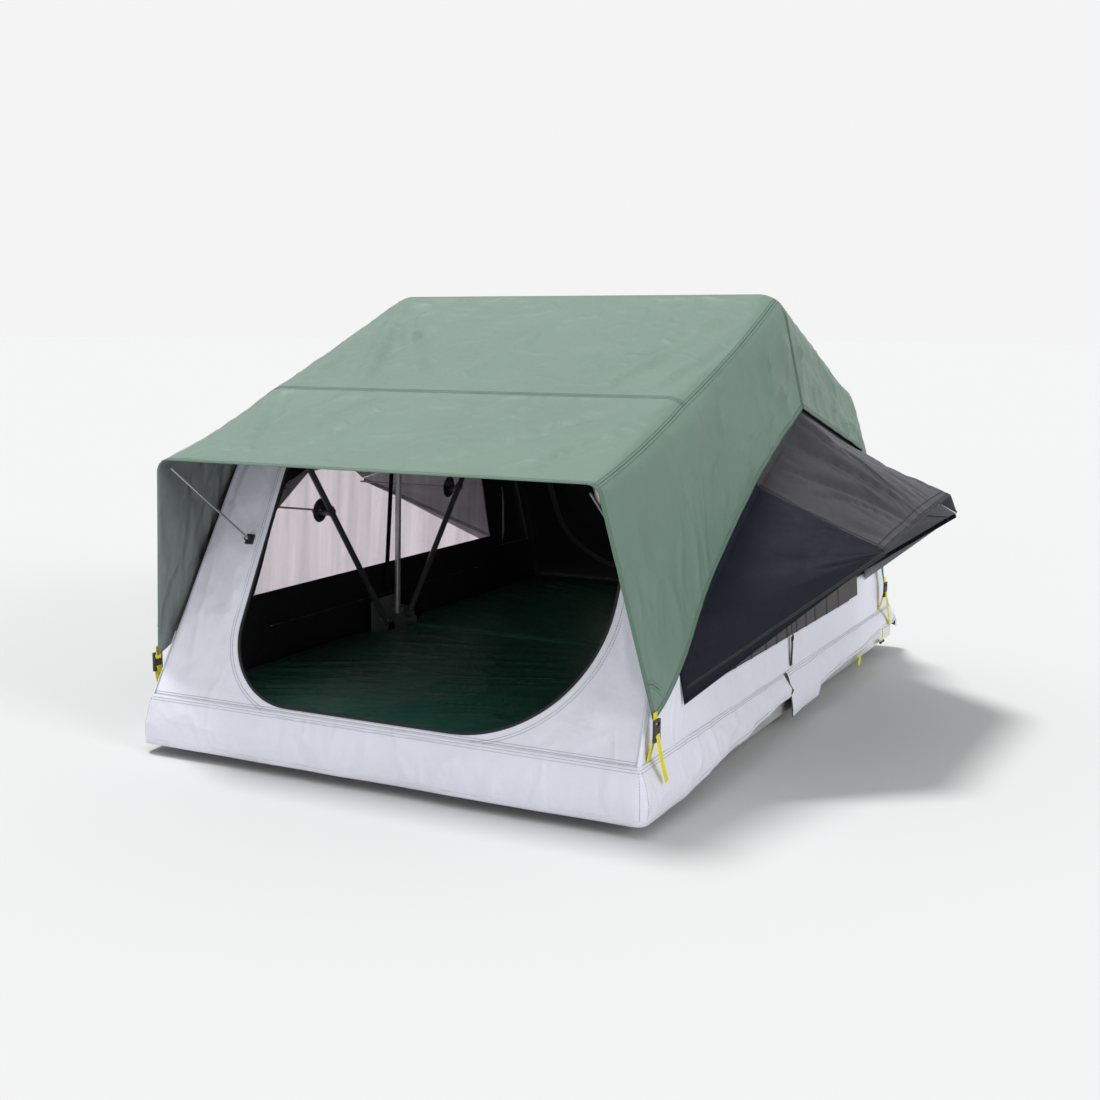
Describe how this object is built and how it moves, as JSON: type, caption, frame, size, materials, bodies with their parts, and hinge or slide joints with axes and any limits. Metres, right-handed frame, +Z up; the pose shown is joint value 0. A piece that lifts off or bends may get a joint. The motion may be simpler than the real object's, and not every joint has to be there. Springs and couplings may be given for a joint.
{
  "type": "roof top tent",
  "caption": "Folding roof top tent on a hinged base: bent tube bows, walled inner tent, flysheet with a front canopy, and awnings propped out over the side windows.",
  "frame": {"origin": "on the ground under the middle of the tent, below the main hinge", "axes": "+Z up, +Y towards the rear, -Y towards the door and canopy, +X to the right seen from the door"},
  "size_m": [2.1252, 2.2532, 1.2105],
  "materials": {
    "board": "satin",
    "frame_alloy": "brushed",
    "plastic": "moulded",
    "hinge_steel": "satin",
    "fixings": "bright",
    "gunmetal_tube": "anodised",
    "bright_tube": "drawn",
    "mattress_cover": "woven cotton",
    "wall_cloth": "coated canvas",
    "dark_cloth": "coated canvas",
    "net": "insect net",
    "fly_cloth": "ripstop",
    "awning_cloth": "ripstop",
    "cheek_cloth": "ripstop",
    "webbing": "woven",
    "binding": "woven tape"
  },
  "bodies": {
    "rear_base": {"rear_panel": "board", "rear_edge_frame": "frame_alloy", "rear_mattress": "mattress_cover", "mounting_rails": "frame_alloy", "rear_rail_caps": "plastic", "rear_hinge_plates": "hinge_steel", "rear_hinge_screws": "fixings", "hinge_pins": "fixings", "rear_pivot_pins": "fixings", "rear_skirt": "wall_cloth", "rear_wall": "wall_cloth", "rear_window_mesh": "net", "rear_lower_walls": "wall_cloth", "rear_upper_walls": "dark_cloth", "rear_side_meshes": "net", "rear_ceiling": "dark_cloth", "rear_fly": "fly_cloth", "rear_tie_straps": "webbing", "rear_tie_hooks": "plastic", "rear_toggles": "plastic"},
    "front_base": {"front_panel": "board", "front_edge_frame": "frame_alloy", "front_mattress": "mattress_cover", "support_rails": "frame_alloy", "front_rail_caps": "plastic", "front_hinge_plates": "hinge_steel", "front_hinge_screws": "fixings", "front_pivot_pins": "fixings", "front_skirt": "wall_cloth", "front_lower_walls": "wall_cloth", "front_upper_walls": "dark_cloth", "front_side_meshes": "net", "front_ceiling": "dark_cloth", "front_fly": "fly_cloth", "front_tie_straps": "webbing", "front_tie_hooks": "plastic"},
    "door_wall": {"front_wall": "wall_cloth", "door_binding": "binding", "rod_clips": "plastic", "door_roll": "wall_cloth"},
    "front_frame": {"front_bow": "gunmetal_tube", "front_rod_brackets": "plastic"},
    "centre_frame": {"centre_bow": "bright_tube"},
    "rear_frame": {"rear_bow": "gunmetal_tube", "rear_rod_brackets": "plastic"},
    "canopy_rod_left": {"canopy_rod_left": "fixings"},
    "canopy_rod_right": {"canopy_rod_right": "fixings"},
    "awning_rod_front_left": {"awning_rod_front_left": "fixings"},
    "awning_rod_front_right": {"awning_rod_front_right": "fixings"},
    "awning_rod_rear_left": {"awning_rod_rear_left": "fixings"},
    "awning_rod_rear_right": {"awning_rod_rear_right": "fixings"},
    "left_awning": {"left_awning_top": "awning_cloth", "left_awning_cheeks": "cheek_cloth"},
    "right_awning": {"right_awning_top": "awning_cloth", "right_awning_cheeks": "cheek_cloth"},
    "window_pull_left": {"window_pull_left": "binding"},
    "window_pull_right": {"window_pull_right": "binding"}
  },
  "joints": [
    {"name": "base_fold", "type": "hinge", "parent": "rear_base", "child": "front_base", "pos_m": [0, 0, 0.203], "axis": [-1, 0, 0], "range_deg": [0, 180], "deforming": ["rear_skirt", "rear_wall", "rear_window_mesh", "rear_lower_walls", "rear_upper_walls", "rear_side_meshes", "rear_ceiling", "rear_fly", "front_skirt", "front_lower_walls", "front_upper_walls", "front_side_meshes", "front_ceiling", "front_fly", "front_wall", "door_binding", "door_roll", "left_awning_top", "left_awning_cheeks", "right_awning_top", "right_awning_cheeks", "rear_tie_straps", "front_tie_straps"]},
    {"name": "centre_bow_fold", "type": "hinge", "parent": "rear_base", "child": "centre_frame", "pos_m": [0, 0, 0.203], "axis": [-1, 0, 0], "range_deg": [0, 90]},
    {"name": "rear_bow_fold", "type": "hinge", "parent": "rear_base", "child": "rear_frame", "pos_m": [0, 0.07, 0.178], "axis": [-1, 0, 0], "range_deg": [0, 52]},
    {"name": "front_bow_fold", "type": "hinge", "parent": "front_base", "child": "front_frame", "pos_m": [0, -0.07, 0.178], "axis": [1, 0, 0], "range_deg": [0, 52]},
    {"name": "door_wall_fold", "type": "hinge", "parent": "front_base", "child": "door_wall", "pos_m": [0, -1.091, 0.155], "axis": [-1, 0, 0], "range_deg": [0, 61.1]},
    {"name": "canopy_rod_left_swing", "type": "hinge", "parent": "door_wall", "child": "canopy_rod_left", "pos_m": [-0.532, -0.89313, 0.55941], "axis": [1, 0, 0], "range_deg": [0, 104.3]},
    {"name": "canopy_rod_right_swing", "type": "hinge", "parent": "door_wall", "child": "canopy_rod_right", "pos_m": [0.607, -0.89313, 0.55941], "axis": [1, 0, 0], "range_deg": [0, 104.3]},
    {"name": "awning_rod_front_left_swing", "type": "hinge", "parent": "front_frame", "child": "awning_rod_front_left", "pos_m": [-0.68621, -0.3747, 0.568], "axis": [0, 0.788, 0.6157], "range_deg": [0, 90]},
    {"name": "awning_rod_front_right_swing", "type": "hinge", "parent": "front_frame", "child": "awning_rod_front_right", "pos_m": [0.68621, -0.3747, 0.568], "axis": [0, -0.788, -0.6157], "range_deg": [0, 90]},
    {"name": "awning_rod_rear_left_swing", "type": "hinge", "parent": "rear_frame", "child": "awning_rod_rear_left", "pos_m": [-0.68621, 0.3747, 0.568], "axis": [0, 0.788, -0.6157], "range_deg": [0, 90]},
    {"name": "awning_rod_rear_right_swing", "type": "hinge", "parent": "rear_frame", "child": "awning_rod_rear_right", "pos_m": [0.68621, 0.3747, 0.568], "axis": [0, -0.788, 0.6157], "range_deg": [0, 90]},
    {"name": "left_awning_fold", "type": "hinge", "parent": "centre_frame", "child": "left_awning", "pos_m": [-0.655, 0, 0.889], "axis": [0, -1, 0], "range_deg": [0, 55]},
    {"name": "right_awning_fold", "type": "hinge", "parent": "centre_frame", "child": "right_awning", "pos_m": [0.655, 0, 0.889], "axis": [0, 1, 0], "range_deg": [0, 55]},
    {"name": "window_pull_left_swing", "type": "hinge", "parent": "front_base", "child": "window_pull_left", "pos_m": [-0.70253, -0.022, 0.252], "axis": [0, 1, 0], "range_deg": [0, 70]},
    {"name": "window_pull_right_swing", "type": "hinge", "parent": "front_base", "child": "window_pull_right", "pos_m": [0.70253, -0.022, 0.252], "axis": [0, -1, 0], "range_deg": [0, 70]}
  ],
  "couplings": [
    {"joint": "centre_bow_fold", "follows": "base_fold", "ratio": 0.5},
    {"joint": "rear_bow_fold", "follows": "base_fold", "ratio": 0.28889},
    {"joint": "front_bow_fold", "follows": "base_fold", "ratio": 0.28889},
    {"joint": "door_wall_fold", "follows": "base_fold", "ratio": 0.33944},
    {"joint": "canopy_rod_left_swing", "follows": "base_fold", "ratio": 0.57944},
    {"joint": "canopy_rod_right_swing", "follows": "base_fold", "ratio": 0.57944},
    {"joint": "awning_rod_front_left_swing", "follows": "base_fold", "ratio": 0.5},
    {"joint": "awning_rod_front_right_swing", "follows": "base_fold", "ratio": 0.5},
    {"joint": "awning_rod_rear_left_swing", "follows": "base_fold", "ratio": 0.5},
    {"joint": "awning_rod_rear_right_swing", "follows": "base_fold", "ratio": 0.5},
    {"joint": "left_awning_fold", "follows": "base_fold", "ratio": 0.30556},
    {"joint": "right_awning_fold", "follows": "base_fold", "ratio": 0.30556}
  ]
}
